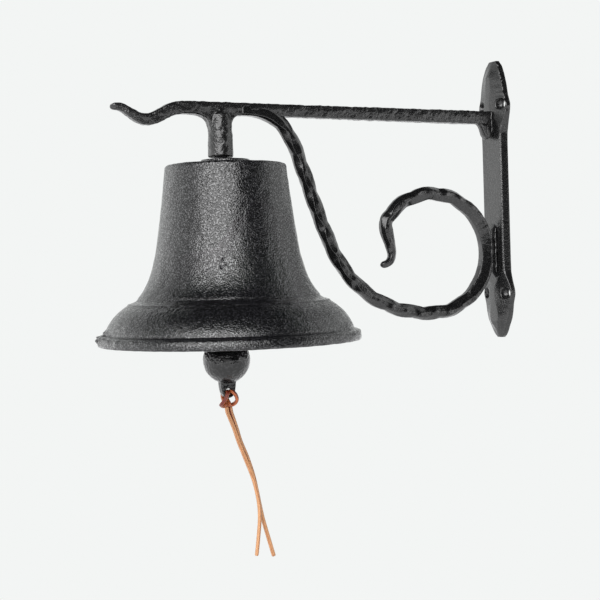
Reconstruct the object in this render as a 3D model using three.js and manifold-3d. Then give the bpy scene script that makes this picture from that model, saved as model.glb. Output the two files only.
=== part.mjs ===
// Door bell: a cast-iron bell under a cast scroll bracket, rung by a leather lace on its clapper.
// Millimetres, +Z up. The origin is the middle of the wall plate's back face, the wall is on the
// +X side and the arm points along -X. The bracket lies in the plane Y = 0.
import * as THREE from 'three';
import { mergeVertices } from 'three/addons/utils/BufferGeometryUtils.js';
import Module from 'manifold-3d';

const wasm = await Module();
wasm.setup();

// Wall plate
const plateHeight = 195;
const plateThickness = 6;
const plateSide = 3.6;
const plateBevel = 2.3;
const shankWidth = 23.2;
const headWidth = 32.4;
const ridgeRise = 0.9;
const headFall = 1.3;
const tipThickness = 3;
const tipFacet = 11;
const screwSpacingY = 22.4;
const screwSpacingZ = 132.6;
const screwHole = 5.4;
const countersinkWidth = 8.6;
const countersinkDepth = 1.8;

// Arm with its curled front end; it is higher at the wall than at the front
const armAxisZ = 57.4;
const armWallHeight = 9.4;
const armHeight = 8.3;
const armDepth = 8.4;
const armReach = 285.8;
const curlLength = 48.2;
const curlDrop = 8.3;
const curlTipHeight = 4.2;
const footHeight = 10.4;
const footLength = 9.8;

// Scroll
const loopAcross = 89;
const loopHigh = 82;
const loopAxisZ = -37;
const loopGap = 6.7;
const loopEnd = 143;
const scrollHeight = 9.6;
const scrollDepth = 8.8;
const scrollTipHeight = 4.4;
const scrollTipRun = 34;
const hammerPitch = 23;
const hammerDepth = 0.4;
const ridgeWander = 0.9;
const seatHeight = 34;

// Boss and eye bolt
const boltReach = 214;
const bossTopWidth = 15.2;
const bossFootWidth = 16.4;
const bossFootZ = 27.2;
const boltWidth = 8;
const boltGrip = 18;
const eyeRod = 5.5;
const eyeBore = 6.5;
const eyeDrop = 30.2;

// Bell
const mouthWidth = 166;
const bellHeight = 112;
const crownWidth = 77.2;
const waistWidth = 92;
const skirtTopWidth = 128;
const skirtFootWidth = 154.2;
const skirtTopHeight = 25;
const waistHeight = 55;
const lipHeight = 7.8;
const bodyWall = 4.3;
const bowWall = 7.2;
const crownThickness = 6;
const padWidth = 31.8;
const padHeight = 3.2;
const padGap = 2;
const crownHole = 14.6;
const bellPlay = 3;

// Washer and nut under the crown
const washerWidth = 26;
const washerThickness = 2;
const nutAcross = 13;
const nutHeight = 6.5;

// Link and clapper
const linkWire = 3.2;
const linkPitch = 14;
const linkInside = 6.4;
const linkCorner = 1.2;
const lugThickness = 5;
const lugBore = 6;
const lugWall = 3.5;
const lugChamfer = 0.8;
const ballWidth = 30;
const ballBelowMouth = 10.8;
const stemTopWidth = 6.4;
const stemFootWidth = 8.6;
const tabWidth = 10;
const tabThickness = 6;
const tabBelowBall = 24.2;
const laceHole = 5.2;
const laceHoleUp = 3.7;

// Lace
const laceWidth = 2.1;

// Clearance between pieces that touch, and how finely round things are cut
const seat = 0.3;
const bellFacets = 60;
const laceSides = 8;

// What follows from them
const plateTop = plateHeight / 2;
const armHalf = armHeight / 2;
const boltX = -boltReach;
const bellX = boltX + bellPlay;
const crownTopZ = bossFootZ - padGap - padHeight;
const mouthZ = crownTopZ - bellHeight;
const washerTopZ = crownTopZ - crownThickness - seat;
const nutTopZ = washerTopZ - washerThickness - seat;
const eyeRing = (eyeBore + eyeRod) / 2;
const eyeZ = bossFootZ - eyeDrop;
const linkTopZ = eyeZ - eyeBore / 2 + linkWire / 2 + seat;
const linkFootZ = linkTopZ - linkPitch;
const lugZ = linkFootZ + linkWire / 2 + seat - lugBore / 2;
const lugRadius = lugBore / 2 + lugWall;
const ballZ = mouthZ - ballBelowMouth;
const tabFootZ = ballZ - tabBelowBall;
const laceHoleZ = tabFootZ + laceHoleUp;

const ironPaint = { color: 0x2b2d2f, roughness: 0.5, metalness: 0.35 };
const zincSteel = { color: 0x9a9c9e, roughness: 0.42, metalness: 0.9 };
const tannedLeather = { color: 0xc27a44, roughness: 0.6, metalness: 0 };

const group = new THREE.Group();

function addPiece(name, geometry, finish) {
  const piece = new THREE.Mesh(geometry, new THREE.MeshStandardMaterial(finish));
  piece.name = name;
  group.add(piece);
}

// A closed geometry as a solid for joining and cutting, with its faces turned outwards.
function toSolid(geometry) {
  const bare = geometry.clone();
  bare.deleteAttribute('normal');
  bare.deleteAttribute('uv');
  const merged = mergeVertices(bare, 1e-4);
  const corners = merged.attributes.position;
  const faces = Array.from(merged.index.array);
  const a = new THREE.Vector3();
  const b = new THREE.Vector3();
  const c = new THREE.Vector3();
  let volume = 0;
  const kept = [];
  for (let i = 0; i < faces.length; i += 3) {
    const [p, q, r] = faces.slice(i, i + 3);
    if (p !== q && q !== r && r !== p) {
      a.fromBufferAttribute(corners, p);
      b.fromBufferAttribute(corners, q);
      c.fromBufferAttribute(corners, r);
      volume += a.dot(b.cross(c));
      kept.push([p, q, r]);
    }
  }
  const turned = volume < 0 ? kept.map(([p, q, r]) => [p, r, q]) : kept;
  return new wasm.Manifold(new wasm.Mesh({
    numProp: 3,
    vertProperties: new Float32Array(corners.array),
    triVerts: new Uint32Array(turned.flat()),
  }));
}

function toGeometry(solid) {
  const mesh = solid.getMesh();
  const geometry = new THREE.BufferGeometry();
  geometry.setAttribute('position', new THREE.Float32BufferAttribute(mesh.vertProperties, 3));
  geometry.setIndex(Array.from(mesh.triVerts));
  geometry.computeVertexNormals();
  return geometry;
}

// Rings of corners joined into a closed skin, capped at both ends.
function loft(rings) {
  const corners = rings[0].length;
  const index = [];
  for (let i = 0; i + 1 < rings.length; i += 1) {
    for (let j = 0; j < corners; j += 1) {
      const near = i * corners + j;
      const next = i * corners + ((j + 1) % corners);
      index.push(near, next, next + corners, near, next + corners, near + corners);
    }
  }
  const last = (rings.length - 1) * corners;
  for (let j = 1; j + 1 < corners; j += 1) {
    index.push(0, j + 1, j);
    index.push(last, last + j, last + j + 1);
  }
  const geometry = new THREE.BufferGeometry();
  const positions = rings.flat().flatMap((p) => [p.x, p.y, p.z]);
  geometry.setAttribute('position', new THREE.Float32BufferAttribute(positions, 3));
  geometry.setIndex(index);
  return geometry;
}

// A turned shape about the upright line through (x, y). The profile holds radius and height.
function turned(profile, segments, x = 0, y = 0) {
  return new THREE.LatheGeometry(profile, segments).rotateX(Math.PI / 2).translate(x, y, 0);
}

// A flat shape drawn in x and z, as thick as depth along Y, with chamfered edges.
function plateOf(shape, depth, chamfer) {
  const flat = new THREE.ExtrudeGeometry(shape, {
    depth: depth - 2 * chamfer,
    bevelEnabled: chamfer > 0,
    bevelThickness: chamfer,
    bevelSize: chamfer,
    bevelOffset: -chamfer,
    bevelSegments: 1,
    curveSegments: 6,
  });
  return flat.rotateX(Math.PI / 2).translate(0, depth / 2 - chamfer, 0);
}

// A round bar or cord along a curve.
function tubeAlong(curve, width, sides, steps) {
  const section = new THREE.Shape();
  for (let i = 0; i < sides; i += 1) {
    const angle = (2 * Math.PI * i) / sides;
    const place = [(width / 2) * Math.cos(angle), (width / 2) * Math.sin(angle)];
    if (i === 0) {
      section.moveTo(...place);
    } else {
      section.lineTo(...place);
    }
  }
  section.closePath();
  return new THREE.ExtrudeGeometry(section, { steps, extrudePath: curve, bevelEnabled: false });
}

function smooth(from, to, value) {
  return THREE.MathUtils.smoothstep(value, from, to);
}

// Wall plate: rings up its height. Its two ends swell round the screw holes into spear heads whose
// faces meet in a ridge, and a facet runs down to each tip.
function wallPlate() {
  const shank = shankWidth / 2;
  const head = headWidth / 2;
  const upperHead = new THREE.SplineCurve([
    [0, 0.27 * head], [4, 0.49 * head], [9, 0.62 * head], [17, 0.77 * head], [25, 0.86 * head],
    [31.2, head], [36, 0.97 * head], [44, shank + 1.9], [51, shank + 0.3], [58, shank],
  ].map(([down, half]) => new THREE.Vector2(down, half)));
  const lowerHead = new THREE.SplineCurve([
    [0, 0.16 * head], [1.4, 0.3 * head], [4.6, 0.44 * head], [8.8, 0.57 * head], [13, 0.72 * head],
    [18, 0.81 * head], [24, 0.87 * head], [30.5, head], [34.5, 0.96 * head], [40, shank + 1.9],
    [46, shank + 0.2], [54, shank],
  ].map(([up, half]) => new THREE.Vector2(up, half)));

  function ring(z, half, fromTip) {
    const flatness = smooth(34, 50, fromTip);
    const full = Math.min(1, fromTip / tipFacet);
    const ridge = THREE.MathUtils.lerp(tipThickness, plateThickness + ridgeRise * (1 - flatness), full);
    const shoulder = THREE.MathUtils.lerp(tipThickness, plateThickness - headFall * (1 - flatness), full);
    const side = Math.min(plateSide, shoulder - 0.4);
    const bevel = Math.min(plateBevel, 0.4 * half);
    const face = Math.max(0.4, (half - bevel) * (0.06 + 0.9 * flatness));
    return [
      [0, -half], [0, half], [-side, half], [-shoulder, half - bevel],
      [-ridge, face], [-ridge, -face], [-shoulder, bevel - half], [-side, -half],
    ].map(([x, y]) => new THREE.Vector3(x, y, z));
  }

  const lower = lowerHead.getPoints(24).map((p) => ring(p.x - plateTop, p.y, p.x));
  const upper = upperHead.getPoints(22).map((p) => ring(plateTop - p.x, p.y, p.x));
  return toSolid(loft([...lower, ...upper.reverse()]));
}

// A countersunk hole for a wood screw, cut from the plate's front face to its back.
function screwCut(y, z) {
  const hole = screwHole / 2;
  const mouth = countersinkWidth / 2;
  const past = 4;
  const profile = [
    [0, -1], [hole, -1], [hole, plateThickness - countersinkDepth - headFall / 2],
    [mouth, plateThickness - headFall / 2], [mouth, plateThickness + past], [0, plateThickness + past],
  ].map(([r, h]) => new THREE.Vector2(r, h));
  const cutter = new THREE.LatheGeometry(profile, 20).rotateZ(Math.PI / 2).translate(0, y, z);
  return toSolid(cutter);
}

// Eight corners of a cast bar's section: across in the bracket's plane, then depth along Y. The
// two wide faces are 2 * flat wide and sit off the middle by shift; top and foot are the half
// depths of the two narrow faces.
function barSection(half, depth, flat, shift, top, foot) {
  return [
    [half, top], [half, -top], [shift + flat, -depth], [shift - flat, -depth],
    [-half, -foot], [-half, foot], [shift - flat, depth], [shift + flat, depth],
  ];
}

// A cast bar along a path in x and z, from its tip. sectionAt gives the section at a distance.
function bar(path, pitch, sectionAt) {
  const total = path.getLength();
  const count = Math.ceil((total - pitch) / pitch);
  const places = [0, 0.12 * pitch, 0.35 * pitch, 0.65 * pitch];
  for (let i = 0; i <= count; i += 1) {
    places.push(pitch + ((total - pitch) * i) / count);
  }
  return toSolid(loft(places.map((place) => {
    const share = Math.min(1, place / total);
    const centre = path.getPoint(share);
    const along = path.getTangent(share);
    return sectionAt(place, centre).map(([across, depth]) => new THREE.Vector3(
      centre.x - along.y * across,
      depth,
      centre.y + along.x * across,
    ));
  })));
}

// How much of a bar's section is left this far from its rounded tip.
function tipShare(place, tipLength) {
  const left = 1 - Math.min(1, place / tipLength);
  return Math.max(0.35, Math.sqrt(1 - left * left));
}

// Arm: level from the plate to the curl, which dips and turns up again at the front.
function arm() {
  const front = -armReach;
  const curlFoot = front + 0.46 * curlLength;
  const curlBack = front + curlLength;
  const dip = armAxisZ - curlDrop;
  const path = new THREE.Path();
  path.moveTo(front, armAxisZ - 2.1);
  path.bezierCurveTo(front + 7.6, armAxisZ + 2.8, curlFoot - 9, dip, curlFoot, dip);
  path.bezierCurveTo(curlFoot + 9, dip, curlBack - 13, armAxisZ - 0.2, curlBack, armAxisZ - 0.2);
  path.lineTo(1 - plateThickness, armAxisZ);
  const total = path.getLength();
  return bar(path, 5.8, (place) => {
    const grown = smooth(0, curlLength, place);
    const tip = tipShare(place, curlTipHeight / 2 + 1);
    const full = THREE.MathUtils.lerp(armHalf, armWallHeight / 2, smooth(0.35 * total, total, place));
    const half = tip * THREE.MathUtils.lerp(curlTipHeight / 2, full, Math.min(1, 0.45 + grown) * grown ** 0.35);
    const depth = tip * THREE.MathUtils.lerp(0.55, 1, grown ** 0.4) * (armDepth / 2);
    return barSection(half, depth, 0.45 * half, 0.3 * half, 0.72 * depth, 0.42 * depth);
  });
}

// Scroll: from the inner tip round the loop, along the plate, and up to the arm. Its wide faces are
// hammered into facets that meet in a wandering ridge, and are flat where the loop meets the plate.
const loopX = -plateThickness - loopGap - loopAcross / 2;

function scrollPath() {
  const rx = loopAcross / 2;
  const rz = loopHigh / 2;
  const end = THREE.MathUtils.degToRad(loopEnd);
  const curlTop = new THREE.Vector2(loopX + rx * Math.cos(end), loopAxisZ + rz * Math.sin(end));
  const knee = new THREE.Vector2(curlTop.x + 1.7, curlTop.y - 20);
  const loopFootZ = loopAxisZ - rz;
  const runFoot = new THREE.Vector2(loopX - 84, loopFootZ + 57.7);
  const runTop = new THREE.Vector2(boltX + 53.8, armAxisZ - 26.9);
  const spring = new THREE.Vector2(boltX + 14, armAxisZ - 0.1);
  const path = new THREE.Path();
  path.moveTo(knee.x - 8.2, knee.y - 11.9);
  path.bezierCurveTo(knee.x + 2.2, knee.y - 11.2, knee.x + 1.5, knee.y - 4.2, knee.x, knee.y);
  path.bezierCurveTo(curlTop.x - 1.4, curlTop.y - 11.5, curlTop.x - 2.4, curlTop.y - 3, curlTop.x, curlTop.y);
  path.absellipse(loopX, loopAxisZ, rx, rz, end, -Math.PI / 2, true);
  path.bezierCurveTo(loopX - 43.5, loopFootZ, runFoot.x + 13, runFoot.y - 36, runFoot.x, runFoot.y);
  path.bezierCurveTo(runFoot.x - 6.7, runFoot.y + 14.6, runTop.x + 5.8, runTop.y - 14.9, runTop.x, runTop.y);
  path.bezierCurveTo(runTop.x - 6.5, runTop.y + 17.5, spring.x + 24, spring.y + 0.5, spring.x, spring.y);
  return path;
}

function scroll() {
  const path = scrollPath();
  const total = path.getLength();
  const fullHalf = scrollHeight / 2;
  const fullDepth = scrollDepth / 2;
  return bar(path, 6, (place, centre) => {
    const grown = smooth(0, scrollTipRun, place);
    const tip = tipShare(place, scrollTipHeight / 2 + 1);
    const joined = smooth(total - 42, total - 8, place);
    const fromPlate = -plateThickness - centre.x;
    const flatness = Math.max(1 - smooth(loopGap + 4, loopGap + 24, fromPlate), joined);
    const turn = (2 * Math.PI * place) / hammerPitch;
    const marks = (1 - flatness) * grown;
    const wide = THREE.MathUtils.lerp(fullHalf, armHalf - 0.1, joined);
    const deep = THREE.MathUtils.lerp(fullDepth, armDepth / 2 - 0.1, joined);
    const half = tip * THREE.MathUtils.lerp(scrollTipHeight / 2, wide, grown)
      + hammerDepth * marks * Math.sin(turn);
    const depth = tip * THREE.MathUtils.lerp(scrollTipHeight / 2, deep, grown)
      + hammerDepth * marks * Math.cos(2 * turn);
    const flat = THREE.MathUtils.lerp(0.16, 0.58, flatness) * half;
    const edge = THREE.MathUtils.lerp(0.34, 0.6, flatness) * depth;
    return barSection(half, depth, flat, ridgeWander * marks * Math.sin(turn / 2), edge, edge);
  });
}

// Foot under the arm where it meets the plate, and the land that joins the loop to the plate.
function armFoot() {
  const under = armAxisZ - armWallHeight / 2;
  const face = -plateThickness;
  const shape = new THREE.Shape();
  shape.moveTo(face + 1, armAxisZ);
  shape.lineTo(face - footLength - 3, armAxisZ);
  shape.lineTo(face - footLength - 3, under + 0.6);
  shape.quadraticCurveTo(face - footLength, under, face - footLength + 1.6, under - 4);
  shape.lineTo(face - footLength + 2.6, under - 0.68 * footHeight);
  shape.lineTo(face - 4.6, under - footHeight);
  shape.lineTo(face + 1, under - footHeight + 3.2);
  shape.closePath();
  return toSolid(plateOf(shape, armDepth, 0.9));
}

function loopLand() {
  const face = -plateThickness;
  const inner = face - loopGap + 1;
  const shape = new THREE.Shape();
  shape.moveTo(face + 1, loopAxisZ + 0.5 * seatHeight);
  shape.lineTo(inner, loopAxisZ + 0.42 * seatHeight);
  shape.lineTo(inner, loopAxisZ - 0.42 * seatHeight);
  shape.lineTo(face + 1, loopAxisZ - 0.5 * seatHeight);
  shape.closePath();
  return toSolid(plateOf(shape, 0.82 * scrollDepth, 0.8));
}

// Boss: a round post under the arm with a domed top inside it, tapped from below for the bolt.
function boss() {
  const foot = bossFootWidth / 2;
  const top = bossTopWidth / 2;
  const shoulderZ = armAxisZ - 3;
  const profile = [
    [0, bossFootZ], [foot - 0.6, bossFootZ], [foot, bossFootZ + 0.8], [top, shoulderZ - 4],
    [0.86 * top, shoulderZ + 0.8], [0.6 * top, shoulderZ + 4], [0, shoulderZ + 5.6],
  ].map(([r, z]) => new THREE.Vector2(r, z));
  return toSolid(turned(profile, 28, boltX));
}

function bossHole() {
  const hole = boltWidth / 2 + seat;
  const profile = [
    [0, bossFootZ - 1], [hole, bossFootZ - 1], [hole, bossFootZ + boltGrip + seat],
    [0, bossFootZ + boltGrip + seat + 1.5],
  ].map(([r, z]) => new THREE.Vector2(r, z));
  return toSolid(turned(profile, 24, boltX));
}

// Cast fillets between the boss and the arm: long on the front side, short on the wall side.
function bossFillets() {
  const under = armAxisZ - armHalf;
  const side = bossTopWidth / 2;
  const shape = new THREE.Shape();
  shape.moveTo(boltX - side - 18, under + 0.5);
  shape.quadraticCurveTo(boltX - side - 4, under, boltX - side - 1.6, under - 4);
  shape.quadraticCurveTo(boltX - side - 0.3, under - 6.5, boltX - side + 0.4, under - 11);
  shape.lineTo(boltX + side - 0.4, under - 6);
  shape.quadraticCurveTo(boltX + side + 0.6, under - 0.8, boltX + side + 6, under + 0.5);
  shape.lineTo(boltX + side + 6, armAxisZ + 1);
  shape.lineTo(boltX - side - 18, armAxisZ + 1);
  shape.closePath();
  return toSolid(plateOf(shape, 0.84 * armDepth, 0.8));
}

let bracket = wallPlate();
for (const piece of [arm(), scroll(), armFoot(), loopLand(), boss(), bossFillets()]) {
  bracket = bracket.add(piece);
}
bracket = bracket.subtract(bossHole());
for (const y of [-screwSpacingY / 2, screwSpacingY / 2]) {
  for (const z of [-screwSpacingZ / 2, screwSpacingZ / 2]) {
    bracket = bracket.subtract(screwCut(y, z));
  }
}
addPiece('bracket_casting', toGeometry(bracket), ironPaint);

// Bell: one profile turned about its axis, outside up from the rim, over the crown and its pad,
// through the hole and down inside. Heights are above the mouth.
function bellProfile() {
  const mouth = mouthWidth / 2;
  const skirtFoot = skirtFootWidth / 2;
  const skirtTop = skirtTopWidth / 2;
  const waist = waistWidth / 2;
  const crown = crownWidth / 2;
  const corner = 2.5;
  const ceiling = bellHeight - crownThickness;
  const outline = new THREE.Path();
  outline.moveTo(mouth - 1.2, 0);
  outline.quadraticCurveTo(mouth, 0, mouth, 1.6);
  outline.bezierCurveTo(mouth - 0.2, 5.2, skirtFoot + 1.2, lipHeight - 2.6, skirtFoot, lipHeight);
  outline.bezierCurveTo(skirtFoot - 1.6, lipHeight + 5.4, skirtTop + 7.5, skirtTopHeight - 4.5,
    skirtTop, skirtTopHeight);
  outline.lineTo(skirtTop - 3, skirtTopHeight + 1.6);
  outline.bezierCurveTo(skirtTop - 9.5, skirtTopHeight + 5.5, waist + 3.6, waistHeight - 15.5,
    waist, waistHeight);
  outline.quadraticCurveTo((waist + crown) / 2 - 0.7, (waistHeight + bellHeight) / 2 - 3.5,
    crown, bellHeight - corner);
  outline.quadraticCurveTo(crown - 0.2, bellHeight, crown - corner, bellHeight);
  outline.lineTo(padWidth / 2 + 0.4, bellHeight);
  outline.lineTo(padWidth / 2 - 0.5, bellHeight + padHeight);
  outline.lineTo(crownHole / 2, bellHeight + padHeight);
  outline.lineTo(crownHole / 2, ceiling);
  outline.lineTo(crown - bodyWall - 4, ceiling);
  outline.quadraticCurveTo(crown - bodyWall, ceiling, crown - bodyWall + 0.2, ceiling - 4);
  outline.quadraticCurveTo((waist + crown) / 2 - bodyWall - 0.7, (waistHeight + bellHeight) / 2 - 3.5,
    waist - bodyWall, waistHeight);
  outline.bezierCurveTo(waist - bodyWall + 3.2, waistHeight - 17, skirtTop - bowWall - 6, skirtTopHeight,
    skirtTop - bowWall + 3.4, skirtTopHeight - 6);
  outline.quadraticCurveTo(skirtFoot - bowWall, lipHeight + 3, mouth - bowWall, 0.8);
  outline.lineTo(mouth - bowWall + 0.8, 0);
  outline.closePath();
  return outline.getPoints(4);
}
addPiece('bell_casting',
  toGeometry(toSolid(turned(bellProfile(), bellFacets, bellX).translate(0, 0, mouthZ))), ironPaint);

// Eye bolt: the shank goes up through the crown into the boss, and the rod is bent into an eye.
function eyeBolt() {
  const shank = boltWidth / 2;
  const neck = eyeRod / 2;
  const topZ = bossFootZ + boltGrip;
  const profile = [
    [0, eyeZ + eyeRing - 1], [neck, eyeZ + eyeRing - 1], [neck, eyeZ + eyeRing + neck],
    [shank, eyeZ + eyeRing + neck + 1.2], [shank, topZ - 0.8], [shank - 0.8, topZ], [0, topZ],
  ].map(([r, z]) => new THREE.Vector2(r, z));
  const eye = new THREE.TorusGeometry(eyeRing, eyeRod / 2, 8, 24).rotateX(Math.PI / 2);
  return toSolid(turned(profile, 20, boltX)).add(toSolid(eye.translate(boltX, 0, eyeZ)));
}
addPiece('eye_bolt', toGeometry(eyeBolt()), zincSteel);

// Washer under the crown, and the hexagon nut that carries it.
function ringOf(outer, inner, footZ, topZ, segments) {
  const profile = [[inner, footZ], [outer, footZ], [outer, topZ], [inner, topZ], [inner, footZ]]
    .map(([r, z]) => new THREE.Vector2(r, z));
  return turned(profile, segments, boltX);
}
const aroundBolt = boltWidth / 2 + seat;
addPiece('crown_washer', toGeometry(toSolid(
  ringOf(washerWidth / 2, aroundBolt, washerTopZ - washerThickness, washerTopZ, 32),
)), zincSteel);

function bellNut() {
  const corner = nutAcross / Math.sqrt(3);
  const footZ = nutTopZ - nutHeight;
  const hexagon = new THREE.CylinderGeometry(corner, corner, nutHeight, 6).rotateX(Math.PI / 2)
    .translate(boltX, 0, nutTopZ - nutHeight / 2);
  const chamfered = [
    [0, footZ], [nutAcross / 2, footZ], [corner + 0.2, footZ + 1.1], [corner + 0.2, nutTopZ - 1.1],
    [nutAcross / 2, nutTopZ], [0, nutTopZ],
  ].map(([r, z]) => new THREE.Vector2(r, z));
  const bore = [[0, footZ - 1], [aroundBolt, footZ - 1], [aroundBolt, nutTopZ + 1], [0, nutTopZ + 1]]
    .map(([r, z]) => new THREE.Vector2(r, z));
  return toSolid(hexagon).intersect(toSolid(turned(chamfered, 24, boltX)))
    .subtract(toSolid(turned(bore, 20, boltX)));
}
addPiece('bell_nut', toGeometry(bellNut()), zincSteel);

// Clapper link: wire bent into a narrow oblong across the bracket's plane, its ends butted. It is so
// narrow that the clapper's eye swings in it but can only rock a little sideways.
function clapperLink() {
  const half = (linkInside + linkWire) / 2;
  const corner = linkCorner + linkWire / 2;
  const points = [];
  const steps = 5;
  const corners = [
    [half - corner, linkTopZ - corner], [corner - half, linkTopZ - corner],
    [corner - half, linkFootZ + corner], [half - corner, linkFootZ + corner],
  ];
  corners.forEach(([y, z], quarter) => {
    for (let i = 0; i <= steps; i += 1) {
      const angle = (Math.PI / 2) * (quarter + i / steps);
      points.push([y + corner * Math.cos(angle), z + corner * Math.sin(angle)]);
    }
  });
  const sides = 10;
  const rings = points.map(([y, z], i) => {
    const [ay, az] = points[(i + points.length - 1) % points.length];
    const [by, bz] = points[(i + 1) % points.length];
    const length = Math.hypot(by - ay, bz - az);
    const outY = (bz - az) / length;
    const outZ = -(by - ay) / length;
    return Array.from({ length: sides }, (_, j) => {
      const angle = (2 * Math.PI * j) / sides;
      const out = (linkWire / 2) * Math.cos(angle);
      return new THREE.Vector3(
        boltX + (linkWire / 2) * Math.sin(angle),
        y + out * outY,
        z + out * outZ,
      );
    });
  });
  const index = [];
  for (let i = 0; i < rings.length; i += 1) {
    for (let j = 0; j < sides; j += 1) {
      const near = i * sides + j;
      const next = i * sides + ((j + 1) % sides);
      const beyond = ((i + 1) % rings.length) * sides;
      index.push(near, next, beyond + ((j + 1) % sides));
      index.push(near, beyond + ((j + 1) % sides), beyond + j);
    }
  }
  const geometry = new THREE.BufferGeometry();
  const positions = rings.flat().flatMap((p) => [p.x, p.y, p.z]);
  geometry.setAttribute('position', new THREE.Float32BufferAttribute(positions, 3));
  geometry.setIndex(index);
  return geometry;
}
addPiece('clapper_link', toGeometry(toSolid(clapperLink())), zincSteel);

// Clapper: one casting with an eye at the top, a stem, the ball and the tab for the lace.
function boreAlongY(width, z, depth, chamfer) {
  const past = 1;
  const profile = [
    [0, -depth / 2 - past], [width / 2 + chamfer + past, -depth / 2 - past],
    [width / 2, chamfer - depth / 2], [width / 2, depth / 2 - chamfer],
    [width / 2 + chamfer + past, depth / 2 + past], [0, depth / 2 + past],
  ].map(([r, h]) => new THREE.Vector2(r, h));
  return toSolid(new THREE.LatheGeometry(profile, 20).translate(boltX, 0, z));
}

function clapper() {
  const lugOutline = new THREE.Shape();
  lugOutline.absarc(boltX, lugZ, lugRadius, 0, 2 * Math.PI);
  const lug = plateOf(lugOutline, lugThickness, lugChamfer);
  const stem = [
    [0, ballZ], [stemFootWidth / 2, ballZ], [stemFootWidth / 2, ballZ + ballWidth / 2],
    [0.5 * (stemTopWidth + stemFootWidth) / 2, (ballZ + lugZ) / 2],
    [stemTopWidth / 2, lugZ - lugRadius], [0.8 * stemTopWidth / 2, lugZ - lugBore / 2 - 1.2],
    [0, lugZ - lugBore / 2 - 1],
  ].map(([r, z]) => new THREE.Vector2(r, z));
  const ball = new THREE.SphereGeometry(ballWidth / 2, 24, 14).rotateX(Math.PI / 2)
    .translate(boltX, 0, ballZ);
  const half = tabWidth / 2;
  const tab = new THREE.Shape();
  tab.moveTo(boltX - half - 0.8, ballZ - 0.6 * ballWidth / 2);
  tab.lineTo(boltX - half, tabFootZ + 6.5);
  tab.bezierCurveTo(boltX - half + 0.4, tabFootZ + 2.4, boltX - 3, tabFootZ, boltX, tabFootZ);
  tab.bezierCurveTo(boltX + 3, tabFootZ, boltX + half - 0.4, tabFootZ + 2.4, boltX + half, tabFootZ + 6.5);
  tab.lineTo(boltX + half + 0.8, ballZ - 0.6 * ballWidth / 2);
  tab.closePath();
  return toSolid(lug).add(toSolid(turned(stem, 20, boltX))).add(toSolid(ball))
    .add(toSolid(plateOf(tab, tabThickness, 0.7)))
    .subtract(boreAlongY(lugBore, lugZ, lugThickness, lugChamfer))
    .subtract(boreAlongY(laceHole, laceHoleZ, tabThickness, 0.4));
}
addPiece('clapper_casting', toGeometry(clapper()), ironPaint);

// Lace: folded in half, its fold pushed through the tab's hole from behind and the two tails drawn
// through the fold. Points are offsets from the middle of the hole.
function laceCurve(points) {
  return new THREE.CatmullRomCurve3(
    points.map(([x, y, z]) => new THREE.Vector3(boltX + x, y, laceHoleZ + z)),
  );
}
const besideInHole = laceWidth / 2 + seat / 2;
const faceOut = tabThickness / 2 + laceWidth / 2 + seat;
const hitch = laceCurve([
  [-1.3, -0.7, -8.9], [-1.3, 0.2, -7.2], [-1.35, 2.6, -5.7], [-1.3, faceOut + 0.3, -3.4],
  [-1.25, faceOut + 0.4, -1.2], [-besideInHole, 2.4, 0], [-besideInHole, 0, 0],
  [-besideInHole, -2.4, 0], [-1.6, -faceOut, -0.9], [-3.2, -faceOut - 0.1, -3.6],
  [-4.7, -2.8, -6.2], [-4.3, 0.6, -7.9], [-2.2, 2.9, -8.9], [0.3, 3.3, -9.1], [2.7, 2.5, -8.8],
  [4.9, 0, -7.3], [5.2, -2.9, -4.9], [3.6, -faceOut - 0.1, -2], [1.7, -faceOut, -0.4],
  [besideInHole, -2.4, 0], [besideInHole, 0, 0], [besideInHole, 2.4, 0],
  [1.25, faceOut + 0.4, -1.2], [1.3, faceOut + 0.3, -3.4], [1.35, 2.6, -5.7], [1.3, 0.2, -7.2],
  [1.3, -0.7, -8.9],
]);
addPiece('lace_hitch', tubeAlong(hitch, laceWidth, laceSides, 50), tannedLeather);

const frontTail = laceCurve([
  [-1.3, -0.9, -9.3], [-0.9, -1.2, -12.6], [0.3, -1.6, -16], [2.8, -2.4, -23], [4.8, -3.6, -30.5],
  [8.6, -5.4, -42], [12.4, -7.4, -53.5], [13.8, -9.2, -61], [14.8, -10.6, -70.2], [14.6, -11.5, -79.4],
  [13.2, -12, -90.5], [11.6, -12, -102.2],
]);
const backTail = laceCurve([
  [1.3, -0.9, -9.3], [1.8, -0.9, -12.6], [2.9, -0.9, -16], [5.4, -0.6, -23.4], [7.6, -0.8, -31.1],
  [11.6, -2.6, -42.7], [14.4, -4.6, -54.1], [15.5, -6.3, -61.5], [16.5, -7.7, -70.9],
  [18, -8.9, -80.3], [20.6, -10.4, -91.7], [23.4, -12.2, -104],
]);
addPiece('lace_tail_front', tubeAlong(frontTail, laceWidth, laceSides, 24), tannedLeather);
addPiece('lace_tail_back', tubeAlong(backTail, laceWidth, laceSides, 24), tannedLeather);

export default group;
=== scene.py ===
"""A cast-iron door bell on a scroll bracket, with a leather lace on its clapper.

The file goes through the studio that the bell is photographed in, the bracket casting, the bell, the
steel parts inside it, the clapper and the lace. Shapes are worked out in millimetres in the frame of the
solids, whose origin is the middle of the wall plate's back face, and go into their meshes in metres.
"""
import math

import bpy
import numpy as np
from mathutils import Matrix, Vector


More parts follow.
